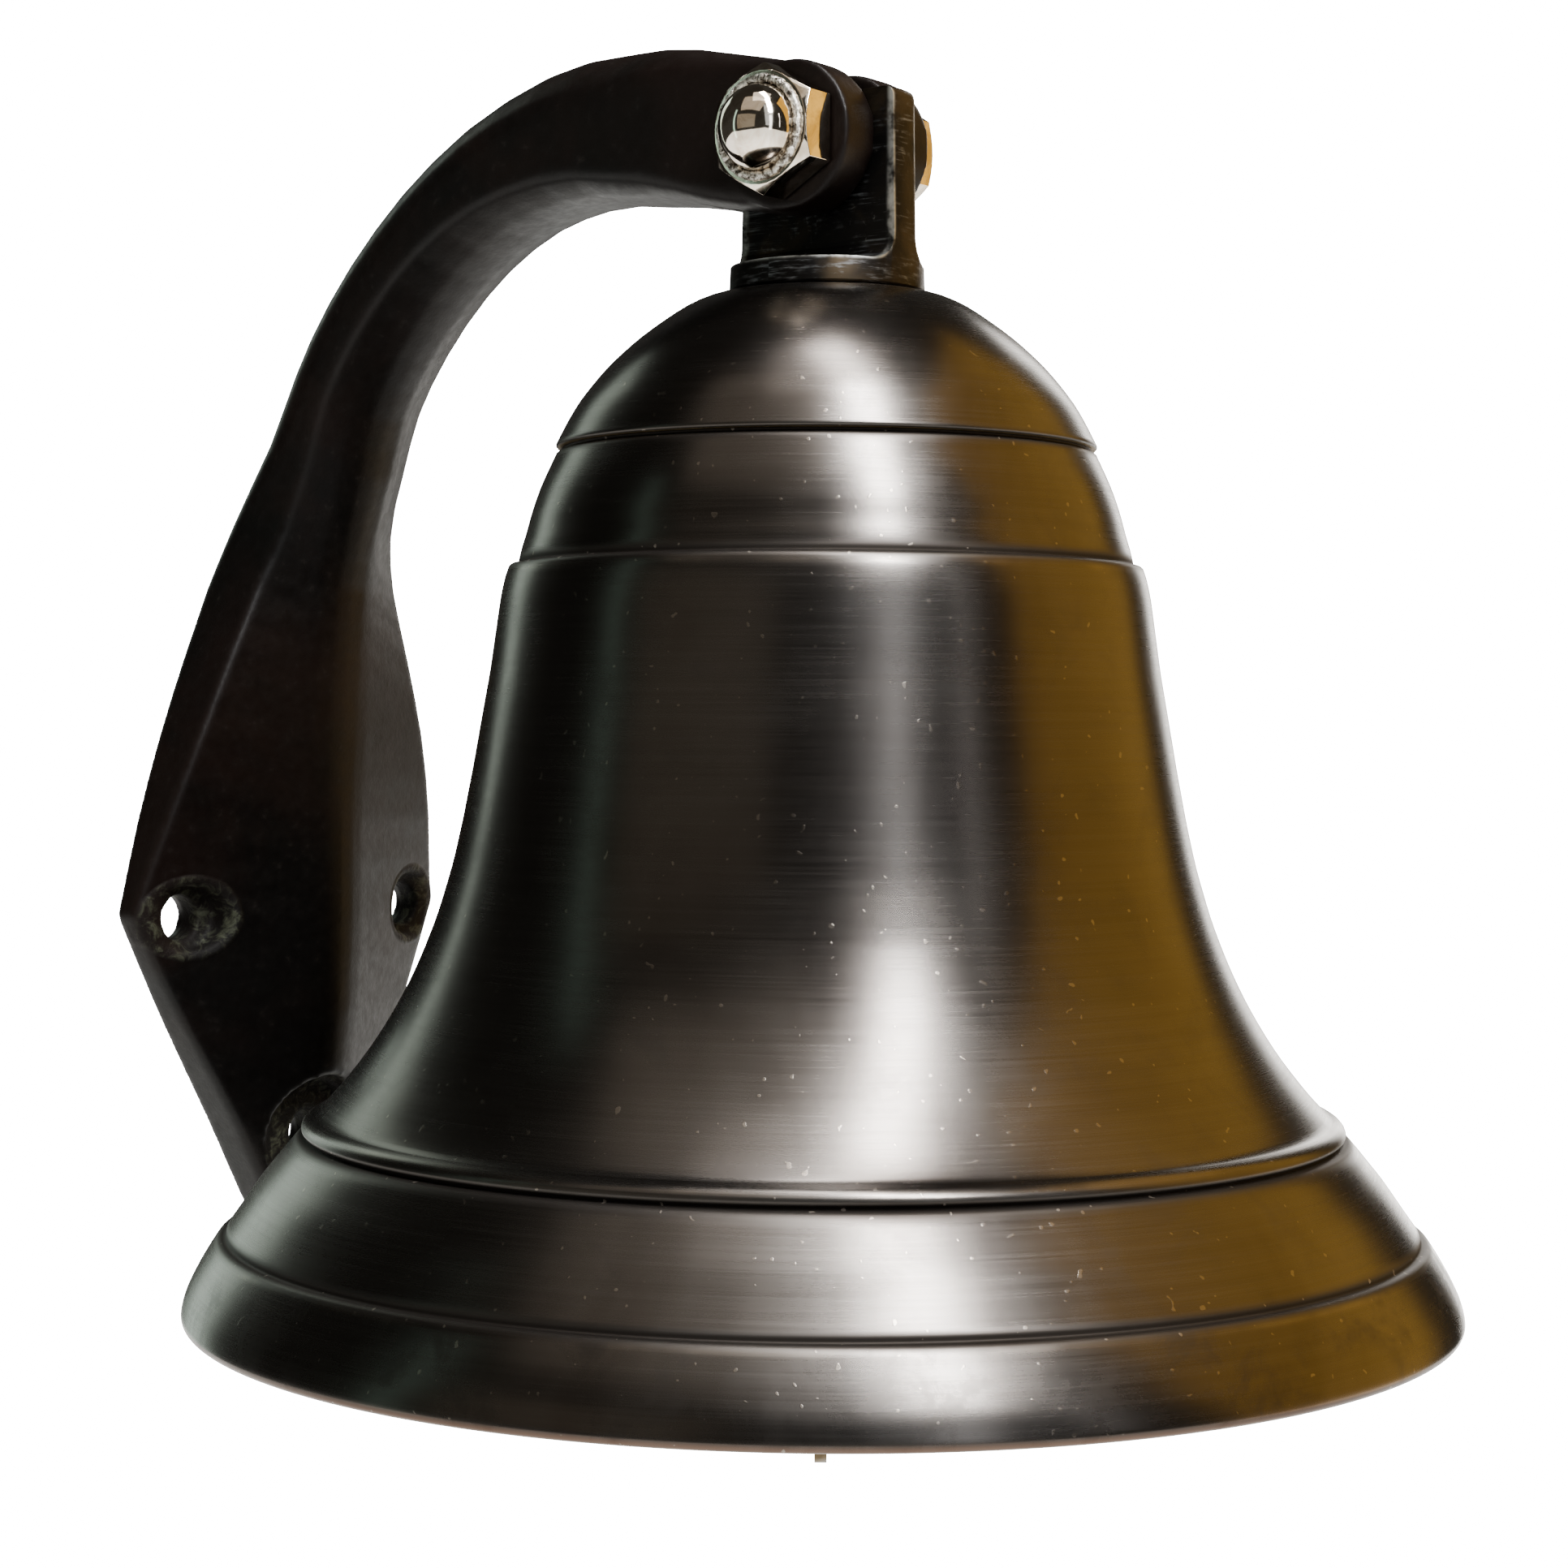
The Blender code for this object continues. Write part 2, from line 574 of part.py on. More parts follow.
def build_hanger_hardware(zinc, brass):
    washer_top = CROWN_UNDERSIDE_Z - GAP
    washer_low = washer_top - 2.0 * MM
    lock_top = washer_low - GAP
    lock_low = lock_top - 2.2 * MM
    nut_top = lock_low - GAP
    nut_length = 9.0 * MM

    profile = [
        (BOLT_HOLE_RADIUS, washer_top - PIVOT_Z),
        (12.5 * MM, washer_top - PIVOT_Z),
        (12.5 * MM, washer_low + 0.3 * MM - PIVOT_Z),
        (12.2 * MM, washer_low - PIVOT_Z),
        (BOLT_HOLE_RADIUS, washer_low - PIVOT_Z),
    ]
    washer = applied(turned("hanger_washer", profile, PIVOT, brass, steps=32))
    give_material(washer, brass)
    shade(washer, 30.0)

    outline = arc((0.0, 0.0), 10.2 * MM, 5.0, 355.0, 28)
    outline += arc((0.0, 0.0), BOLT_HOLE_RADIUS, 355.0, 5.0, 28)
    lock_height = lock_top - lock_low
    lock = plate_from_outline("lock_washer", outline, "Y", 0.0, lock_height, Vector((0.0, 0.0, 0.0)))
    spin = Vector((0.0, 1.0, 0.0)).rotation_difference(Vector((0.0, 0.0, 1.0))).to_matrix().to_4x4()
    lock.data.transform(spin)
    lock.data.transform(Matrix.Translation(Vector((0.0, 0.0, lock_low - PIVOT_Z))))
    lock.location = PIVOT
    give_material(lock, zinc)
    shade(lock, 30.0)

    nut = hex_blank(
        "hanger_nut",
        nut_length,
        (0, 0, -1),
        Vector((0.0, 0.0, 0.0)),
        HEX_ACROSS_FLATS,
        1.6 * MM,
        True,
    )
    nut.data.transform(Matrix.Translation(Vector((0.0, 0.0, nut_top - nut_length / 2.0 - PIVOT_Z))))
    nut.location = PIVOT
    bore = cylinder(
        "hanger_nut_bore",
        Vector((0.0, PIVOT.y, nut_top - nut_length / 2.0)),
        (0, 0, 1),
        STUD_RADIUS + 0.15 * MM,
        30 * MM,
        segments=32,
    )
    add_boolean(nut, bore, "DIFFERENCE")
    give_material(nut, brass)
    shade(nut, 25.0)


# ---------------------------------------------------------------- clapper


def build_link(material):
    """A closed ring of round wire that stands in the X-Z plane."""
    work = bmesh.new()
    around = 32
    section = 10
    rings = []
    for i in range(around):
        turn = 2.0 * math.pi * i / around
        ring = []
        for j in range(section):
            bend = 2.0 * math.pi * j / section
            reach = LINK_RADIUS + LINK_WIRE_RADIUS * math.cos(bend)
            x = reach * math.sin(turn)
            z = reach * math.cos(turn) - LINK_RADIUS
            ring.append(work.verts.new((x, LINK_WIRE_RADIUS * math.sin(bend), z)))
        rings.append(ring)
    for i in range(around):
        here = rings[i]
        after = rings[(i + 1) % around]
        for j in range(section):
            k = (j + 1) % section
            work.faces.new((here[j], here[k], after[k], after[j]))
    bmesh.ops.recalc_face_normals(work, faces=work.faces)
    mesh = bpy.data.meshes.new("clapper_link")
    work.to_mesh(mesh)
    work.free()
    link = add_object("clapper_link", mesh, LINK_PIVOT, material)
    shade(link, 60.0)
    return link


def build_clapper(rod_material, ball_material):
    base = LINK_CENTRE_Z
    eye_outer = 6.4 * MM
    neck_z = ROD_EYE_Z - eye_outer
    rod_profile = [
        (0.0, neck_z + 3.0 * MM - base),
        (ROD_RADIUS, neck_z + 3.0 * MM - base),
        (ROD_RADIUS, -6.0 * MM - base),
        (ROD_RADIUS - 0.3 * MM, -6.4 * MM - base),
        (2.2 * MM, -8.2 * MM - base),
        (2.2 * MM, -12.0 * MM - base),
        (0.0, -12.0 * MM - base),
    ]
    rod = applied(turned("clapper_rod", rod_profile, CLAPPER_PIVOT, rod_material, steps=24))
    eye_place = Vector((0.0, PIVOT.y, ROD_EYE_Z))
    eye_disc = cylinder("rod_eye_disc", eye_place, (1, 0, 0), eye_outer, 5.0 * MM, segments=32)
    add_boolean(rod, eye_disc, "UNION")
    eye_hole = cylinder("rod_eye_hole", eye_place, (1, 0, 0), EYE_HOLE_RADIUS, 20 * MM, segments=24)
    add_boolean(rod, eye_hole, "DIFFERENCE")

    tail_middle = TAIL_END_Z + 5.0 * MM
    outline = arc((0.0, tail_middle), 5.0 * MM, 180.0, 360.0, 12)
    outline += [(5.0 * MM, -14.5 * MM), (3.2 * MM, -10.5 * MM), (-3.2 * MM, -10.5 * MM), (-5.0 * MM, -14.5 * MM)]
    outline = [(a, z - base) for a, z in outline]
    tail = plate_from_outline("tail_lug", outline, "Y", -1.0 * MM, 1.0 * MM, CLAPPER_PIVOT)
    tail.rotation_euler = (0.0, 0.0, TAIL_TURN)
    add_boolean(rod, tail, "UNION")
    hole_place = Vector((0.0, PIVOT.y, tail_middle))
    direction = (-math.sin(TAIL_TURN), math.cos(TAIL_TURN), 0.0)
    tail_hole = cylinder("tail_hole", hole_place, direction, 2.6 * MM, 12 * MM, segments=20)
    add_boolean(rod, tail_hole, "DIFFERENCE")
    give_material(rod, rod_material)
    shade(rod, 32.0)

    bore = ROD_RADIUS + 0.1 * MM
    centre = BALL_Z - base
    start = math.degrees(math.acos(bore / BALL_RADIUS))
    outline = list(reversed(arc((0.0, centre), BALL_RADIUS, -start, start, 14)))
    ball = applied(turned("clapper_ball", outline, CLAPPER_PIVOT, ball_material, steps=28))
    give_material(ball, ball_material)
    shade(ball, 40.0)


def main():
    clear_scene()
    bracket_iron = make_material("bracket_iron", (0.025, 0.022, 0.020), 0.7, 0.5)
    dark_bronze = make_material("dark_bronze", (0.10, 0.080, 0.062), 1.0, 0.32)
    lug_bronze = make_material("lug_bronze", (0.045, 0.042, 0.040), 0.9, 0.42)
    bright_nickel = make_material("bright_nickel", (0.72, 0.68, 0.62), 1.0, 0.12)
    bolt_steel = make_material("bolt_steel", (0.60, 0.58, 0.54), 1.0, 0.3)
    washer_steel = make_material("washer_steel", (0.50, 0.49, 0.47), 1.0, 0.35)
    hanger_brass = make_material("hanger_brass", (0.60, 0.45, 0.22), 1.0, 0.35)
    clapper_brass = make_material("clapper_brass", (0.30, 0.23, 0.14), 1.0, 0.38)
    link_brass = make_material("link_brass", (0.45, 0.34, 0.17), 1.0, 0.35)

    build_bracket(bracket_iron)
    build_bolt_set(bolt_steel, bright_nickel)
    build_crown_lug(lug_bronze)
    build_bell(dark_bronze)
    build_hanger_hardware(washer_steel, hanger_brass)
    build_link(link_brass)
    build_clapper(clapper_brass, clapper_brass)


main()
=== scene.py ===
import json
import math

import bmesh
import bpy
from mathutils import Matrix, Vector


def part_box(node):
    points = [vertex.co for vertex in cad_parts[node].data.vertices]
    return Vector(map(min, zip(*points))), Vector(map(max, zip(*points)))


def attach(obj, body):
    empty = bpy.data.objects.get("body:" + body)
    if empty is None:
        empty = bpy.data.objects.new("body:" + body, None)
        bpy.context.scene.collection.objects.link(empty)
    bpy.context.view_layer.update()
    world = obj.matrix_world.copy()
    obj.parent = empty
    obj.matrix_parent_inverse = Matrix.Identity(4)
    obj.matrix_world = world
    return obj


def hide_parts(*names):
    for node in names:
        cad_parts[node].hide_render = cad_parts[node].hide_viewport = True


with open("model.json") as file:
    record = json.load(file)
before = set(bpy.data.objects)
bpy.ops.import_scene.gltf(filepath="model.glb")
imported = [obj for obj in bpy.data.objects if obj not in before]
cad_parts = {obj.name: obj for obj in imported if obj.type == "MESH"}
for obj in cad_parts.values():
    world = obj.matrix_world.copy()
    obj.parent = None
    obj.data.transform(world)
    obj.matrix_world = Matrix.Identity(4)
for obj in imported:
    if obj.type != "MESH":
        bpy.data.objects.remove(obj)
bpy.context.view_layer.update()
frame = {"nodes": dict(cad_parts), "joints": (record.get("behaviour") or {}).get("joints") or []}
nodes = frame["nodes"]
mm = 0.001
joinGap = 0.004 * mm  # points closer together than this are one point
sliver = 0.002 * mm  # edges shorter than this are closed up
print("frame loaded:", len(nodes), "nodes")

shellLow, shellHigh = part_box("bell_shell")
mouthRadius = (shellHigh.x - shellLow.x) / 2
axisY = (shellHigh.y + shellLow.y) / 2  # the bell's own axis stands at x = 0 and this y
axisSpot = Vector((0, axisY, 0))
joints = {joint["name"]: joint for joint in frame["joints"]}
boltCentre = Vector(joints["bell_swing"]["pos_m"])
linkCentre = Vector(joints["clapper_side_swing"]["pos_m"])


# a shader socket that adds, scales and compares like a number
class Wire:
    def __init__(self, finish, socket):
        self.finish = finish
        self.socket = socket

    def maths(self, operation, *others):
        values = {0: self}
        for place, other in enumerate(others):
            values[place + 1] = other
        return self.finish.node("ShaderNodeMath", {"operation": operation}, values)

    def swapped(self, operation, other):
        return self.finish.node("ShaderNodeMath", {"operation": operation}, {0: other, 1: self})

    def __add__(self, other):
        return self.maths("ADD", other)

    __radd__ = __add__

    def __sub__(self, other):
        return self.maths("SUBTRACT", other)

    def __rsub__(self, other):
        return self.swapped("SUBTRACT", other)

    def __mul__(self, other):
        return self.maths("MULTIPLY", other)

    __rmul__ = __mul__

    def __truediv__(self, other):
        return self.maths("DIVIDE", other)

    def __abs__(self):
        return self.maths("ABSOLUTE")

    def near(self, spot, width):  # 1 at the spot, falling to 0 a couple of widths away
        away = (self - spot) / width
        return (away * away * -1.0).maths("EXPONENT")

    def bands(self, spots):  # 1 in each narrow band, given by its place and width
        first, *rest = spots
        total = self.near(*first)
        for spot in rest:
            total = total + self.near(*spot)
        return total

    def step(self, low, high):  # soft ramp from 0 at low to 1 at high
        settings = {"interpolation_type": "SMOOTHSTEP", "clamp": True}
        values = {"Value": self, "From Min": low, "From Max": high, "To Min": 0.0, "To Max": 1.0}
        return self.finish.node("ShaderNodeMapRange", settings, values)

    def limit(self):
        return self.finish.node("ShaderNodeMath", {"operation": "ADD", "use_clamp": True}, {0: self, 1: 0.0})


# one material and the nodes that make it, read in the piece's own coordinates
class Finish:
    def __init__(self, name):
        self.material = bpy.data.materials.new(name)
        self.material.use_nodes = True
        self.tree = self.material.node_tree
        self.shader = self.tree.nodes["Principled BSDF"]
        place = self.tree.nodes.new("ShaderNodeTexCoord")
        self.place = Wire(self, place.outputs["Object"])
        split = self.node("ShaderNodeSeparateXYZ", {}, {0: self.place}, whole=True)
        self.x = Wire(self, split.outputs["X"])
        self.y = Wire(self, split.outputs["Y"])
        self.z = Wire(self, split.outputs["Z"])

    def node(self, kind, settings, values, output=0, whole=False):
        made = self.tree.nodes.new(kind)
        for name, value in settings.items():
            setattr(made, name, value)
        for name, value in values.items():
            if isinstance(value, Wire):
                self.tree.links.new(value.socket, made.inputs[name])
            else:
                made.inputs[name].default_value = value
        return made if whole else Wire(self, made.outputs[output])

    def vector(self, x, y, z):
        return self.node("ShaderNodeCombineXYZ", {}, {"X": x, "Y": y, "Z": z})

    def noise(self, scale, detail=3.0, roughness=0.55, vector=None, distortion=0.0):
        values = {"Vector": vector or self.place, "Scale": scale, "Detail": detail}
        values.update({"Roughness": roughness, "Distortion": distortion})
        return self.node("ShaderNodeTexNoise", {}, values)

    def mix(self, share, first, second):
        made = self.node("ShaderNodeMix", {"data_type": "RGBA"}, {0: share}, whole=True)
        for place, colour in ((6, first), (7, second)):
            if isinstance(colour, Wire):
                self.tree.links.new(colour.socket, made.inputs[place])
            else:
                made.inputs[place].default_value = (*colour, 1.0)
        return Wire(self, made.outputs[2])

    def aroundBell(self):  # radius and angle about the bell's axis
        y = self.y - axisY
        radius = (self.x * self.x + y * y).maths("SQRT")
        return radius, y.maths("ARCTAN2", self.x)

    def bump(self, height, depth, strength=1.0):
        values = {"Height": height, "Distance": depth, "Strength": strength}
        return self.node("ShaderNodeBump", {}, values)

    def done(self, colour, metallic, roughness, normal=None, **constants):
        wanted = {"Base Color": colour, "Metallic": metallic, "Roughness": roughness, "Normal": normal}
        for name, value in wanted.items():
            if isinstance(value, Wire):
                self.tree.links.new(value.socket, self.shader.inputs[name])
            elif value is not None:
                self.shader.inputs[name].default_value = value
        for name, value in constants.items():
            self.shader.inputs[name.replace("_", " ")].default_value = value
        return self.material


def addPiece(name, work, finishes, body, replaced, sharp):
    # edges that turn by more than the sharp angle stay crisp
    bmesh.ops.remove_doubles(work, verts=work.verts, dist=joinGap)
    bmesh.ops.recalc_face_normals(work, faces=work.faces)
    mesh = bpy.data.meshes.new(name)
    work.to_mesh(mesh)
    work.free()
    for finish in finishes:
        mesh.materials.append(finish)
    mesh.shade_smooth()
    mesh.set_sharp_from_angle(angle=math.radians(sharp))
    piece = bpy.data.objects.new(name, mesh)
    bpy.context.scene.collection.objects.link(piece)
    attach(piece, body)
    if replaced:
        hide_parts(*replaced)
    return piece


def arc(radius, start, end, steps):  # points of a round stretch, from one angle to the other
    angles = [start + (end - start) * i / steps for i in range(steps + 1)]
    return [(radius * math.cos(angle), radius * math.sin(angle)) for angle in angles]


def softBend(points, run):
    # adds points between stations so that a turned outline reads as a curve, not as flats
    out = []
    for i in range(len(points) - 1):
        before = Vector(points[max(i - 1, 0)])
        here = Vector(points[i])
        after = Vector(points[i + 1])
        beyond = Vector(points[min(i + 2, len(points) - 1)])
        for s in range(run):
            t = s / run
            bend = (
                here * 2
                + (after - before) * t
                + (before * 2 - here * 5 + after * 4 - beyond) * t * t
                + (here * 3 - before - after * 3 + beyond) * t * t * t
            ) / 2
            out.append(tuple(bend))
    out.append(tuple(points[-1]))
    return out


def turn(outline, centre, axis, steps):
    # outline is (radius, height) in metres along the axis from the centre
    work = bmesh.new()
    aim = Vector((0, 0, 1)).rotation_difference(Vector(axis)).to_matrix()
    verts = [work.verts.new(aim @ Vector((r, 0, h)) + Vector(centre)) for r, h in outline]
    edges = [work.edges.new(pair) for pair in zip(verts, verts[1:] + verts[:1])]
    bmesh.ops.spin(
        work,
        geom=verts + edges,
        cent=centre,
        axis=axis,
        angle=math.radians(360),
        steps=steps,
        use_merge=True,
    )
    bmesh.ops.dissolve_degenerate(work, edges=work.edges, dist=sliver)
    return work


def copyOf(nodeName):
    work = bmesh.new()
    work.from_mesh(nodes[nodeName].data)
    bmesh.ops.remove_doubles(work, verts=work.verts, dist=joinGap)
    return work


def addModifier(piece, kind, **settings):
    modifier = piece.modifiers.new(kind.lower(), kind)
    for name, value in settings.items():
        setattr(modifier, name, value)
    return modifier


# heights and widths in the looks are in millimetres, colours are linear
bellLook = {
    "umber": (0.070, 0.061, 0.055),
    "gunmetal": (0.112, 0.104, 0.098),
    # lighter colour for the pale specks and for the edge bands, where it partly paints the highlight on
    # those rounded edges
    "rubbedAndHighlight": (0.18, 0.16, 0.14),
    "darkTone": (0.020, 0.017, 0.015),
    "rim": (0.10, 0.055, 0.036),
    "roughness": 0.26,
    "lineDepth": 0.0045 * mm,
    "linePace": (2.2, 2300.0, 40.0),  # how fast the turning lines change round, along and through
    "scorePace": (0.9, 620.0),
    "smokeScale": 16.0,
    "mottleScale": 95.0,
    "speckScale": 900.0,
    "lipTop": (13.2, 12.0),
    "rimTop": (1.6, 0.6),
    "grooves": ((136.6, 0.8), (118.9, 0.9), (28.6, 0.9), (13.3, 0.8)),
    # the edge bands are partly wear and partly a painted highlight on the rounded step, bead and lip edges
    "edges": ((117.2, 0.5), (30.6, 0.5), (11.9, 0.4)),
}


def bellPatina(look):
    f = Finish("bellPatina")
    radius, angle = f.aroundBell()
    along = f.z - radius  # runs steadily down the outline, steep or flat
    rate, pace, depth = look["linePace"]
    lines = f.noise(1.0, 4.0, 0.62, f.vector(angle * rate, along * pace, radius * depth))
    rate, pace = look["scorePace"]
    scores = f.noise(1.0, 3.0, 0.5, f.vector(angle * rate, along * pace, 3.0))
    smoky = f.noise(look["smokeScale"], 4.0, 0.6, f.vector(f.x, f.y, f.z * 0.45), 0.6)
    mottle = f.noise(look["mottleScale"], 5.0, 0.65, None, 0.4)
    height = f.z / mm
    share = smoky.step(0.3, 0.7) * 0.62 + scores.step(0.25, 0.75) * 0.14 + lines * 0.14 + 0.05
    colour = f.mix(share.limit(), look["umber"], look["gunmetal"])
    stain = mottle.step(0.45, 0.72) * (0.12 + height.step(*look["lipTop"]) * 0.22)
    colour = f.mix(stain, colour, look["darkTone"])
    # darker colour in and beside each groove, spreading a little wider than the groove itself
    groove = height.bands(look["grooves"])
    colour = f.mix((groove * 0.9).limit(), colour, look["darkTone"])
    # lighter colour along the rounded step, bead and lip edges: partly wear, partly a painted highlight of
    # the light catching them
    edgeWearAndHighlight = height.bands(look["edges"])
    worn = (edgeWearAndHighlight * f.noise(60.0, 3.0).step(0.40, 0.62) * 0.35).limit()
    colour = f.mix(worn, colour, look["rubbedAndHighlight"])
    colour = f.mix(height.step(*look["rimTop"]) * 0.5, colour, look["rim"])
    specks = f.noise(look["speckScale"], 0.0, 0.4).step(0.80, 0.83)
    colour = f.mix(specks * 0.8, colour, look["rubbedAndHighlight"])
    gloss = look["roughness"] + (lines - 0.5) * 0.10 + (smoky - 0.5) * 0.14
    roughness = (gloss + stain * 0.2 + groove * 0.35).limit()
    relief = lines * 0.6 + scores * 0.4 + specks * 2.0
    normal = f.bump(relief, look["lineDepth"], 0.85)
    return f.done(colour, 1.0, roughness, normal)


insideLook = {
    "low": (0.10, 0.075, 0.046),
    "high": (0.19, 0.145, 0.085),
    "pit": (0.03, 0.023, 0.016),
    "depth": 0.09 * mm,
    "ringPace": (1.5, 900.0),
    "cloudScale": 42.0,
    "pitScale": 620.0,
    "sandScale": 700.0,
}


def bellInside(look):
    f = Finish("bellInside")
    radius, angle = f.aroundBell()
    rate, pace = look["ringPace"]
    rings = f.noise(1.0, 3.0, 0.6, f.vector(angle * rate, (f.z - radius) * pace, 1.0))
    cloud = f.noise(look["cloudScale"], 5.0, 0.65)
    pits = f.noise(look["pitScale"], 3.0, 0.6).step(0.58, 0.72)
    colour = f.mix((cloud.step(0.3, 0.7) * 0.7 + rings * 0.3).limit(), look["low"], look["high"])
    colour = f.mix(pits * 0.5, colour, look["pit"])
    roughness = 0.50 + (cloud - 0.5) * 0.2 + (rings - 0.5) * 0.2 + pits * 0.15
    normal = f.bump(rings + f.noise(look["sandScale"], 3.0) * 0.6 - pits, look["depth"], 0.7)
    return f.done(colour, 1.0, roughness, normal)


ironLook = {
    "black": (0.0022, 0.0018, 0.0016),
    "brown": (0.0068, 0.0034, 0.0026),
    "worn": (0.018, 0.015, 0.013),
    "verdigris": (0.060, 0.064, 0.044),
    "reliefDepth": 0.09 * mm,
    "grainScale": 1500.0,
    "sandScale": 520.0,
    "swellScale": 45.0,
    "cloudScale": 22.0,
    "rustScale": 330.0,
    "holes": ((28.0, 58.0, 8.0, 1.2), (0.0, 17.0, 11.6, 1.0)),  # across, up, half height, stretch
    "fade": 0.9,
    "backFade": (-1.4, -2.4),  # bare metal ends short of the flat back
}


def bracketIron(look):
    f = Finish("bracketIron")
    grain = f.noise(look["grainScale"], 3.0, 0.6)
    sand = f.noise(look["sandScale"], 4.0, 0.6)
    swell = f.noise(look["swellScale"], 3.0, 0.5)
    cloud = f.noise(look["cloudScale"], 4.0, 0.6, None, 0.5)
    colour = f.mix(cloud.step(0.38, 0.66) * 0.8, look["black"], look["brown"])
    dust = sand.step(0.60, 0.78) * 0.35
    colour = f.mix(dust, colour, look["worn"])
    seats = 0.0
    for across, up, reach, stretch in look["holes"]:
        dx = (abs(f.x) / mm - across) / stretch
        dz = f.z / mm - up
        span = (dx * dx + dz * dz).maths("SQRT")
        seats = (span.step(reach, reach - look["fade"]) + seats).limit()
    seats = seats * (f.y / mm).step(*look["backFade"])
    rust = f.noise(look["rustScale"], 5.0, 0.7, None, 0.8)
    colour = f.mix(seats * rust.step(0.46, 0.68) * 0.6, colour, look["verdigris"])
    roughness = 0.44 + (sand - 0.5) * 0.25 + (cloud - 0.5) * 0.12 + seats * 0.25
    relief = grain * 0.35 + sand * 0.6 + swell * 2.0 + seats * rust * 5.0
    normal = f.bump(relief, look["reliefDepth"], 0.75)
    return f.done(colour, 0.0, roughness, normal, Specular_IOR_Level=0.20)


lugLook = {
    "black": (0.012, 0.011, 0.0105),
    "brown": (0.040, 0.030, 0.019),
    "scraped": (0.15, 0.155, 0.16),
    # lighter colour for random rubs and for the edge bands, where it partly paints the highlight along the
    # tang and shoulder edges
    "worn": (0.40, 0.40, 0.38),
    "reliefDepth": 0.06 * mm,
    "tangHalf": 2.95,  # the milled flat's distance from the middle
    "flatTop": 166.2,  # height of the shoulder the flats stand on
    "shoulder": (6.95, 170.2, 4.0),  # the round corner between them: across, up, radius
    "wearAndHighlightWidths": (0.30, 0.26, 0.28),  # of the upright edge, the corner and the flat
    "cloudScale": 70.0,
    "markPace": (3.0, 1500.0),
}


def lugBronze(look):
    f = Finish("lugBronze")
    radius, angle = f.aroundBell()
    across = abs(f.x) / mm
    height = f.z / mm
    reach = radius / mm
    cloud = f.noise(look["cloudScale"], 4.0, 0.6, None, 0.4)
    rate, pace = look["markPace"]
    marks = f.noise(1.0, 3.0, 0.6, f.vector(angle * rate, f.z * pace, 2.0))
    colour = f.mix(cloud.step(0.4, 0.66), look["black"], look["brown"])
    # a lighter band along the tang's upright edges, the shoulder's round corner and the flat's rim: partly
    # wear, partly a painted highlight on those edges
    uprightWidth, cornerWidth, flatWidth = look["wearAndHighlightWidths"]
    upright = across.near(look["tangHalf"], uprightWidth) * reach.step(13.6, 14.6)
    upright = upright * height.step(169.0, 170.8)
    cornerAcross, cornerUp, bend = look["shoulder"]
    dx = across - cornerAcross
    dz = height - cornerUp
    corner = (dx * dx + dz * dz).maths("SQRT").near(bend, cornerWidth)
    corner = corner * reach.step(14.0, 15.0) * height.step(170.8, 169.6)
    flat = height.near(look["flatTop"], flatWidth) * across.step(6.3, 7.2) * reach.step(14.2, 15.2)
    edge = (upright + corner + flat).limit()
    worn = (edge * f.noise(260.0, 3.0, 0.6).step(0.32, 0.62)).limit()
    rubs = f.noise(190.0, 5.0, 0.7, None, 1.2).step(0.62, 0.74) * 0.18
    scrapes = marks.step(0.48, 0.68) * f.noise(130.0, 4.0, 0.65, None, 0.8).step(0.40, 0.60)
    colour = f.mix(scrapes * 0.7, colour, look["scraped"])
    colour = f.mix((worn * 0.85 + rubs).limit(), colour, look["worn"])
    roughness = 0.46 + (cloud - 0.5) * 0.35 + (marks - 0.5) * 0.12 - worn * 0.1
    normal = f.bump(marks * 0.5 + f.noise(900.0, 3.0) * 0.7, look["reliefDepth"], 0.7)
    return f.done(colour, 0.85, roughness, normal)


def polished(name, low, high, roughness, depth, scale=240.0):  # plated or bare metal, rubbed smooth
    f = Finish(name)
    cloud = f.noise(scale, 4.0, 0.6, None, 0.5)
    hairs = f.noise(1.0, 2.0, 0.5, f.vector(f.x * 4200.0, f.y * 500.0, f.z * 500.0))
    colour = f.mix(cloud.step(0.36, 0.68), low, high)
    rough = roughness + (cloud - 0.5) * roughness * 0.9 + (hairs - 0.5) * roughness * 0.4
    normal = f.bump(cloud + hairs * 0.4, depth, 0.5)
    return f.done(colour, 1.0, rough, normal)


seamLook = {
    "scorched": (0.10, 0.085, 0.07),
    "bright": (0.80, 0.77, 0.71),
    "lumpScale": 900.0,
    "lumpDepth": 0.35 * mm,
}


def weldBead(look):
    f = Finish("nickelSeam")
    lumps = f.noise(look["lumpScale"], 5.0, 0.7, None, 0.6)
    colour = f.mix(lumps.step(0.38, 0.62), look["scorched"], look["bright"])
    normal = f.bump(lumps, look["lumpDepth"], 1.0)
    return f.done(colour, 1.0, 0.18 + lumps * 0.25, normal)


materials = {
    "bell": bellPatina(bellLook),
    "inside": bellInside(insideLook),
    "iron": bracketIron(ironLook),
    "lug": lugBronze(lugLook),
    "nickel": polished("brightNickel", (0.50, 0.43, 0.35), (0.74, 0.68, 0.60), 0.07, 0.010 * mm),
    "seam": weldBead(seamLook),
    "steel": polished("boltSteel", (0.42, 0.36, 0.29), (0.66, 0.59, 0.50), 0.24, 0.015 * mm),
    "zinc": polished("washerZinc", (0.20, 0.18, 0.16), (0.42, 0.39, 0.35), 0.30, 0.02 * mm),
    "brass": polished("hangerBrass", (0.30, 0.20, 0.085), (0.55, 0.40, 0.18), 0.32, 0.03 * mm),
    "wire": polished("linkBrass", (0.22, 0.15, 0.07), (0.45, 0.33, 0.16), 0.30, 0.03 * mm),
    "clapper": polished("clapperBrass", (0.022, 0.017, 0.012), (0.15, 0.11, 0.06), 0.36, 0.04 * mm, 90.0),
}
print("finishes made:", len(materials))


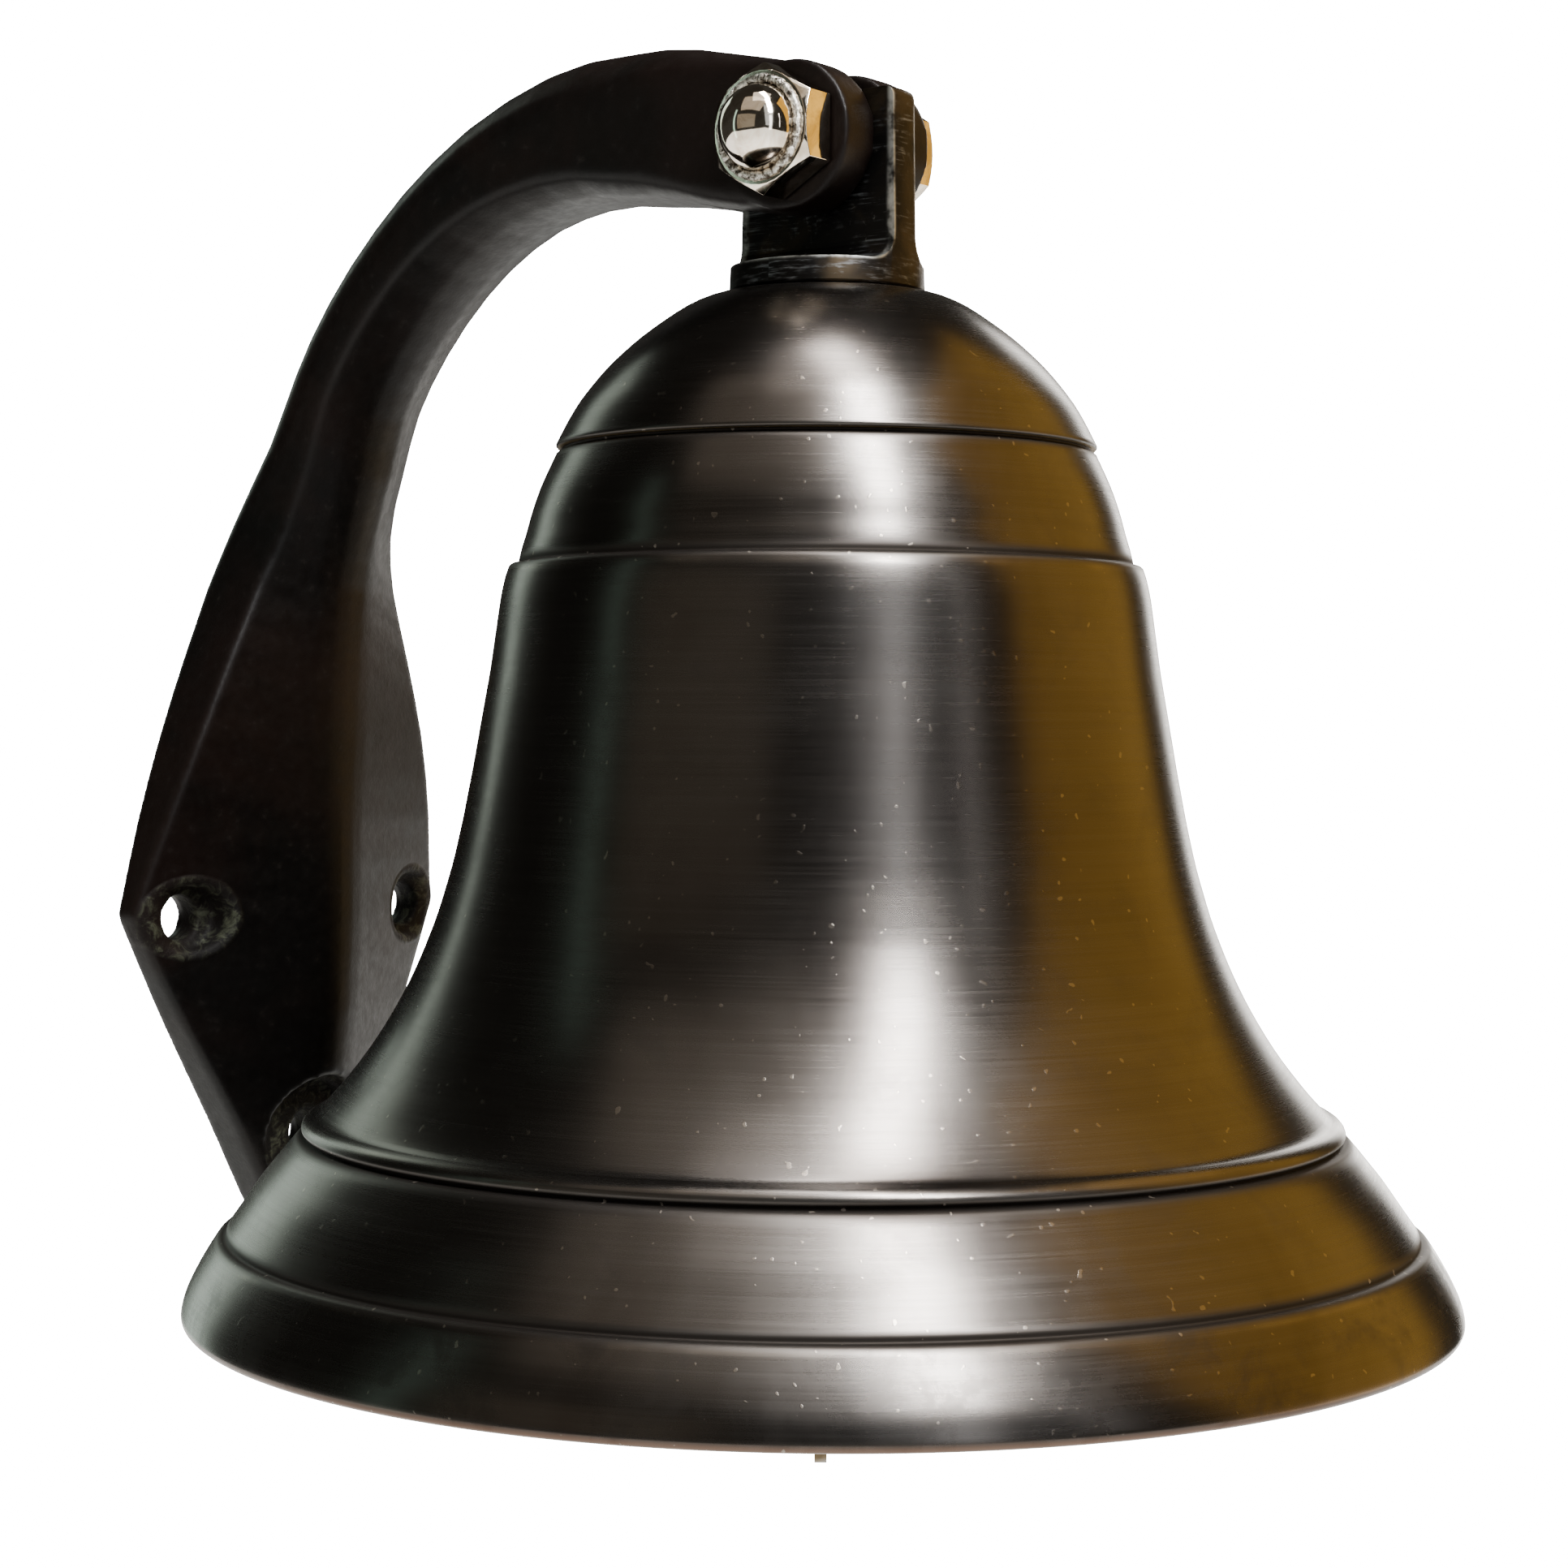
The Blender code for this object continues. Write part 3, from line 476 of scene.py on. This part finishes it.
# the bell's outline as radius and height, in parts of the mouth's radius
bellShape = {
    "steps": 256,
    "curved": ("crown", "band", "body", "slope", "lip", "inner"),
    "bends": 2,
    "seatRadius": 13.0 * mm,
    "seatGap": 0.3 * mm,
    "bore": 6.3 * mm,
    "boreEase": 0.2 * mm,
    "rimHeight": 0.6 * mm,  # the cast finish inside starts above this
    "crown": ((0.1400, 1.5935), (0.1660, 1.5925), (0.1950, 1.5850), (0.2260, 1.5705), (0.2603, 1.5478),
              (0.2949, 1.5219), (0.3244, 1.4961), (0.35, 1.4704), (0.3717, 1.4447), (0.3909, 1.419),
              (0.4063, 1.3934), (0.4195, 1.3680), (0.4248, 1.3575)),
    "topGroove": ((0.4262, 1.3545), (0.4262, 1.3520), (0.4240, 1.3495), (0.4170, 1.3480), (0.4160, 1.3465),
                  (0.4162, 1.3440), (0.4185, 1.3425), (0.4232, 1.3415), (0.4262, 1.3390)),
    "band": ((0.4280, 1.3350), (0.4365, 1.3170), (0.4480, 1.2915), (0.4575, 1.266), (0.4655, 1.2406),
             (0.4722, 1.2152), (0.4790, 1.1930), (0.4830, 1.1765)),
    "step": ((0.4838, 1.1725), (0.4838, 1.1695), (0.4850, 1.1678), (0.4900, 1.1670), (0.4960, 1.1655),
             (0.4995, 1.1625), (0.5012, 1.1580)),
    "body": ((0.5040, 1.1500), (0.5069, 1.1389), (0.5121, 1.1136), (0.5175, 1.0755), (0.5228, 1.0375),
             (0.5282, 0.9995), (0.5348, 0.9615), (0.5414, 0.9235), (0.548, 0.8855), (0.5546, 0.8476),
             (0.5618, 0.8096), (0.5690, 0.7717), (0.5772, 0.7338), (0.5860, 0.6959), (0.5968, 0.6582),
             (0.6083, 0.6204), (0.6221, 0.5827), (0.6374, 0.5452), (0.6546, 0.5078), (0.6742, 0.4705),
             (0.6963, 0.4334), (0.7209, 0.3966), (0.7492, 0.3602), (0.7700, 0.3355), (0.7870, 0.3175)),
    "bead": ((0.7930, 0.3122), (0.7985, 0.3095), (0.8050, 0.3065), (0.8120, 0.3020), (0.8165, 0.2965),
             (0.8182, 0.2915), (0.8178, 0.2870), (0.8155, 0.2845), (0.8130, 0.2825), (0.8128, 0.2805),
             (0.8150, 0.2790), (0.8215, 0.2780), (0.8270, 0.2740)),
    "slope": ((0.8400, 0.2590), (0.8600, 0.2345), (0.8790, 0.2110), (0.8960, 0.1870), (0.9120, 0.1640),
              (0.9270, 0.1430)),
    "lipStep": ((0.9305, 0.1375), (0.9318, 0.1335), (0.9318, 0.1300), (0.9332, 0.1280), (0.9380, 0.1270),
                (0.9430, 0.1255), (0.9470, 0.1222)),
    "lip": ((0.9530, 0.1135), (0.9650, 0.0945), (0.9762, 0.0749), (0.9860, 0.0560), (0.9934, 0.0393),
            (0.9980, 0.0240), (1.0000, 0.0130), (0.9994, 0.0070), (0.9970, 0.0030), (0.9930, 0.0006),
            (0.9880, 0.0000)),
    "inner": ((0.9440, 0.0000), (0.9390, 0.0010), (0.9350, 0.0050), (0.9300, 0.0200), (0.9150, 0.0550),
              (0.8950, 0.0950), (0.8640, 0.1450), (0.8300, 0.1950), (0.7700, 0.2780), (0.6950, 0.3700),
              (0.6320, 0.4750), (0.5840, 0.5900), (0.5480, 0.7200), (0.5190, 0.8700), (0.4930, 1.0200),
              (0.4700, 1.1500), (0.4350, 1.2500), (0.3800, 1.3600), (0.3150, 1.4450), (0.2400, 1.5000),
              (0.1900, 1.5200)),
}


def makeBell(shape):
    outline = []
    for name in ("crown", "topGroove", "band", "step", "body", "bead", "slope", "lipStep", "lip", "inner"):
        outline += softBend(shape[name], shape["bends"]) if name in shape["curved"] else list(shape[name])
    outline = [(r * mouthRadius, h * mouthRadius) for r, h in outline]
    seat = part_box("hanger_washer")[1].z + shape["seatGap"]
    bore = shape["bore"]
    ease = shape["boreEase"]
    outline += [(shape["seatRadius"], seat), (bore + ease, seat), (bore, seat + ease)]
    outline += [(bore, shellHigh.z - ease), (bore + ease, shellHigh.z)]
    work = turn(outline, axisSpot, (0, 0, 1), shape["steps"])
    bmesh.ops.recalc_face_normals(work, faces=work.faces)
    for face in work.faces:
        middle = face.calc_center_median()
        outward = Vector((middle.x, middle.y - axisY, 0))
        inside = face.normal.dot(outward) < 0 or face.normal.z < -0.9
        face.material_index = 1 if inside and middle.z > shape["rimHeight"] else 0
    finishes = [materials["bell"], materials["inside"]]
    addPiece("bellCasting", work, finishes, "bell", ["bell_shell"], 50)


makeBell(bellShape)
print("bell turned")


# the bracket is the CAD shape with its edges softened as sand casting leaves them
bracketShape = {"voxel": 0.6 * mm, "rounds": 11, "share": 0.6}


def makeBracket(shape):
    work = copyOf("wall_bracket")
    iron = [materials["iron"]]
    piece = addPiece("bracketCasting", work, iron, "bracket", ["wall_bracket"], 180)
    addModifier(piece, "REMESH", mode="VOXEL", voxel_size=shape["voxel"], use_smooth_shade=True)
    addModifier(piece, "SMOOTH", factor=shape["share"], iterations=shape["rounds"])


makeBracket(bracketShape)
print("bracket cast")


def eased(name, nodeName, material, body, edge, angle=28):
    # the CAD shape with small rounds on every edge that turns by more than the angle
    piece = addPiece(name, copyOf(nodeName), [material], body, [nodeName], 30)
    addModifier(
        piece,
        "BEVEL",
        width=edge,
        segments=3,
        limit_method="ANGLE",
        angle_limit=math.radians(angle),
        harden_normals=True,
    )


boltShape = {"edge": 0.22 * mm}
domeShape = {"radius": 6.9 * mm, "wall": 0.9 * mm, "sink": 0.7 * mm, "lip": 0.2 * mm, "steps": 96}


def makeDome(shape):
    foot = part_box("cap_nut_dome")[1].x + shape["lip"]
    outer = shape["radius"]
    inner = outer - shape["wall"]
    centre = Vector((foot + shape["sink"], boltCentre.y, boltCentre.z))
    base = shape["sink"] + shape["lip"]
    tip = math.pi / 2
    outline = arc(outer, math.asin(base / outer), tip, 32) + arc(inner, tip, math.asin(base / inner), 24)
    work = turn(outline, centre, (-1, 0, 0), shape["steps"])
    addPiece("capNutDome", work, [materials["nickel"]], "bracket", ["cap_nut_dome"], 60)


seamShape = {
    "radius": 7.55 * mm,
    "width": 0.72 * mm,
    "height": 0.50 * mm,
    "sides": 14,
    "steps": 180,
    "lumpSize": 0.8 * mm,
    "lumpHeight": 0.5 * mm,
}


def makeSeam(shape):
    # the rough bead where the dome is pressed and welded to the hexagon
    foot = Vector((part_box("cap_nut_dome")[1].x, boltCentre.y, boltCentre.z))
    outline = []
    for i in range(shape["sides"]):
        angle = 2 * math.pi * i / shape["sides"]
        out = shape["radius"] + shape["width"] * math.cos(angle)
        outline.append((out, shape["height"] * math.sin(angle)))
    work = turn(outline, foot, (-1, 0, 0), shape["steps"])
    lumps = bpy.data.textures.new("seamLumps", "CLOUDS")
    lumps.noise_scale = shape["lumpSize"]
    piece = addPiece("capNutSeam", work, [materials["seam"]], "bracket", (), 60)
    height = shape["lumpHeight"]
    addModifier(piece, "DISPLACE", texture=lumps, strength=height, mid_level=0.5, texture_coords="LOCAL")


eased("capNutHex", "cap_nut_hex", materials["nickel"], "bracket", boltShape["edge"])
eased("pivotBolt", "pivot_bolt", materials["steel"], "bracket", boltShape["edge"])
makeDome(domeShape)
makeSeam(seamShape)
print("bolt set made")


lugShape = {"edge": 0.4 * mm, "angle": 32}
lockShape = {"edge": 0.2 * mm}
hangerShape = {"bore": 6.3 * mm, "ease": 0.28 * mm, "steps": 96}


def makeHangerWasher(shape):
    low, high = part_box("hanger_washer")
    thick = (high.z - low.z) / 2
    outer = max(high - low) / 2
    inner = shape["bore"]
    ease = shape["ease"]
    corner = ease * 0.3
    upper = [(inner, thick - ease), (inner + ease, thick), (outer - ease, thick)]
    upper += [(outer - corner, thick - corner), (outer, thick - ease)]
    lower = [(r, -h) for r, h in reversed(upper)]
    work = turn(upper + lower, (low + high) / 2, (0, 0, 1), shape["steps"])
    brass = [materials["brass"]]
    addPiece("hangerWasher", work, brass, "bell", ["hanger_washer"], 35)


eased("crownLug", "crown_lug", materials["lug"], "bell", lugShape["edge"], lugShape["angle"])
makeHangerWasher(hangerShape)
eased("lockWasher", "lock_washer", materials["zinc"], "bell", lockShape["edge"])
eased("hangerNut", "hanger_nut", materials["brass"], "bell", boltShape["edge"])
print("lug and hanger made")


clapperShape = {
    "linkRadius": 8.5 * mm,
    "wireRadius": 1.6 * mm,
    "wireSides": 20,
    "ballRadius": 15 * mm,
    "bore": 3.6 * mm,
    "steps": 96,
    "edge": 0.25 * mm,
}


def makeLink(shape):
    work = bmesh.new()
    ring = bmesh.ops.create_circle(work, segments=shape["wireSides"], radius=shape["wireRadius"])
    side = linkCentre + Vector((shape["linkRadius"], 0, 0))
    bmesh.ops.translate(work, verts=ring["verts"], vec=side)
    bmesh.ops.spin(
        work,
        geom=work.verts[:] + work.edges[:],
        cent=linkCentre,
        axis=(0, 1, 0),
        angle=math.radians(360),
        steps=shape["steps"],
        use_merge=True,
    )
    addPiece("clapperLink", work, [materials["wire"]], "link", ["clapper_link"], 60)


def makeBall(shape):
    low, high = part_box("clapper_ball")
    start = math.acos(shape["bore"] / shape["ballRadius"])  # where the rod's bore meets the ball
    outline = arc(shape["ballRadius"], start, -start, 40)
    work = turn(outline, (low + high) / 2, (0, 0, 1), shape["steps"])
    brass = [materials["clapper"]]
    addPiece("clapperBall", work, brass, "clapper", ["clapper_ball"], 50)


makeLink(clapperShape)
makeBall(clapperShape)
eased("clapperRod", "clapper_rod", materials["clapper"], "clapper", clapperShape["edge"])
print("clapper made")


viewpoint = {
    "azimuth": 54.0,  # degrees round to the left of the bell's front
    "distance": 0.4830,
    "height": 0.0948,
    "heading": -0.771,
    "tilt": -1.332,
    "roll": 0.313,
    "lens": 68.85,
    "film": 36,
    "lightAim": 0.09,  # height the lights point at
}


def placeCamera(stand):
    camera = bpy.data.objects.new("camera", bpy.data.cameras.new("camera"))
    camera.data.lens = stand["lens"]
    camera.data.sensor_width = stand["film"]
    around = math.radians(stand["azimuth"])
    spot = Vector((-math.sin(around), -math.cos(around), 0)) * stand["distance"]
    heading = Matrix.Rotation(-math.radians(stand["azimuth"] + stand["heading"]), 4, "Z")
    tilt = Matrix.Rotation(math.radians(90 + stand["tilt"]), 4, "X")
    roll = Matrix.Rotation(math.radians(stand["roll"]), 4, "Z")
    place = Matrix.Translation(axisSpot + spot + Vector((0, 0, stand["height"])))
    camera.matrix_world = place @ heading @ tilt @ roll
    bpy.context.scene.collection.objects.link(camera)
    bpy.context.scene.camera = camera


def addLight(name, side, up, distance, size, power, colour):
    # side is the angle round to the right of the camera, seen from the bell
    data = bpy.data.lights.new(name, "AREA")
    data.shape = "RECTANGLE"
    data.size, data.size_y = size
    data.energy = power
    data.color = colour
    lamp = bpy.data.objects.new(name, data)
    around = math.radians(viewpoint["azimuth"] - side)
    lift = math.radians(up)
    target = axisSpot + Vector((0, 0, viewpoint["lightAim"]))
    away = Vector((-math.sin(around) * math.cos(lift), -math.cos(around) * math.cos(lift), math.sin(lift)))
    facing = away.to_track_quat("Z", "Y").to_matrix().to_4x4()
    lamp.matrix_world = Matrix.Translation(target + away * distance) @ facing
    bpy.context.scene.collection.objects.link(lamp)


# name, side, up, distance, width and height, watts, colour
lights = (
    ("keyLow", 23, 8, 1.25, (0.15, 0.80), 1.1, (0.92, 0.96, 1.0)),
    ("keyHigh", 24, 51, 1.25, (0.18, 0.80), 34, (0.97, 0.99, 1.0)),
    ("keyTop", 28, 80, 1.25, (0.20, 0.60), 8, (1.0, 0.99, 0.98)),
    ("keyHalo", 19, 26, 1.6, (0.55, 1.60), 2.1, (0.88, 0.94, 1.0)),
    ("amberWall", 98, 20, 1.0, (1.20, 1.80), 8.2, (1.0, 0.60, 0.14)),
    ("windowStrip", 47, 14, 1.6, (0.030, 0.9), 0.7, (0.97, 0.98, 1.0)),
    ("rightRim", 156, 8, 1.3, (0.20, 1.2), 4, (1.0, 0.97, 0.92)),
    ("greenWall", -76, 8, 1.3, (0.12, 1.4), 0.65, (0.60, 0.88, 0.78)),
    ("leftRim", -138, 12, 1.3, (0.40, 1.3), 2.6, (0.86, 1.0, 0.90)),
    ("roomWall", -34, 56, 1.7, (1.5, 1.1), 3.6, (0.93, 0.84, 0.72)),
    ("roomLow", -42, 12, 1.9, (1.7, 1.1), 2.0, (0.95, 0.84, 0.68)),
    ("topFill", -10, 78, 1.6, (0.8, 0.8), 3, (1.0, 0.97, 0.94)),
)


stageLook = {
    "dim": (0.40, 0.38, 0.34, 1),  # what the metal mirrors between the lights
    "dimStrength": 0.16,
    "pale": (1, 1, 1, 1),
    "paleStrength": 12.0,
    "floorReach": 6.0,
    "floorDrop": 1.2,
    "paper": ((0.86, 0.86, 0.85), (0.90, 0.90, 0.89)),
    "paperGlow": ((0.14, 0.14, 0.135), (1.0, 1.0, 1.0)),  # as the metal sees it, as the camera does
    "glowStrength": 11.5,
}


def makeBackdrop(look):
    world = bpy.data.worlds.new("studio")
    bpy.context.scene.world = world
    world.use_nodes = True
    tree = world.node_tree
    dim = tree.nodes["Background"]
    dim.inputs["Color"].default_value = look["dim"]
    dim.inputs["Strength"].default_value = look["dimStrength"]
    pale = tree.nodes.new("ShaderNodeBackground")
    pale.inputs["Color"].default_value = look["pale"]
    pale.inputs["Strength"].default_value = look["paleStrength"]
    rays = tree.nodes.new("ShaderNodeLightPath")
    choose = tree.nodes.new("ShaderNodeMixShader")
    tree.links.new(rays.outputs["Is Camera Ray"], choose.inputs[0])
    tree.links.new(dim.outputs[0], choose.inputs[1])
    tree.links.new(pale.outputs[0], choose.inputs[2])
    tree.links.new(choose.outputs[0], tree.nodes["World Output"].inputs["Surface"])


def makeFloor(look):
    work = bmesh.new()
    bmesh.ops.create_grid(work, x_segments=8, y_segments=8, size=look["floorReach"])
    bmesh.ops.translate(work, verts=work.verts, vec=(0, 0, -look["floorDrop"]))
    mesh = bpy.data.meshes.new("floor")
    work.to_mesh(mesh)
    work.free()
    paper = Finish("palePaper")
    sheet = paper.mix(paper.noise(3.0, 2.0), *look["paper"])
    seen = paper.node("ShaderNodeLightPath", {}, {}, "Is Camera Ray")
    glow = paper.mix(seen, *look["paperGlow"])
    mesh.materials.append(paper.done(sheet, 0.0, 0.9, None, Emission_Strength=look["glowStrength"]))
    paper.tree.links.new(glow.socket, paper.shader.inputs["Emission Color"])
    floor = bpy.data.objects.new("floor", mesh)
    bpy.context.scene.collection.objects.link(floor)


placeCamera(viewpoint)
bpy.context.scene.view_settings.look = "AgX - Medium High Contrast"
for light in lights:
    addLight(*light)
makeBackdrop(stageLook)
makeFloor(stageLook)
print("stage set")
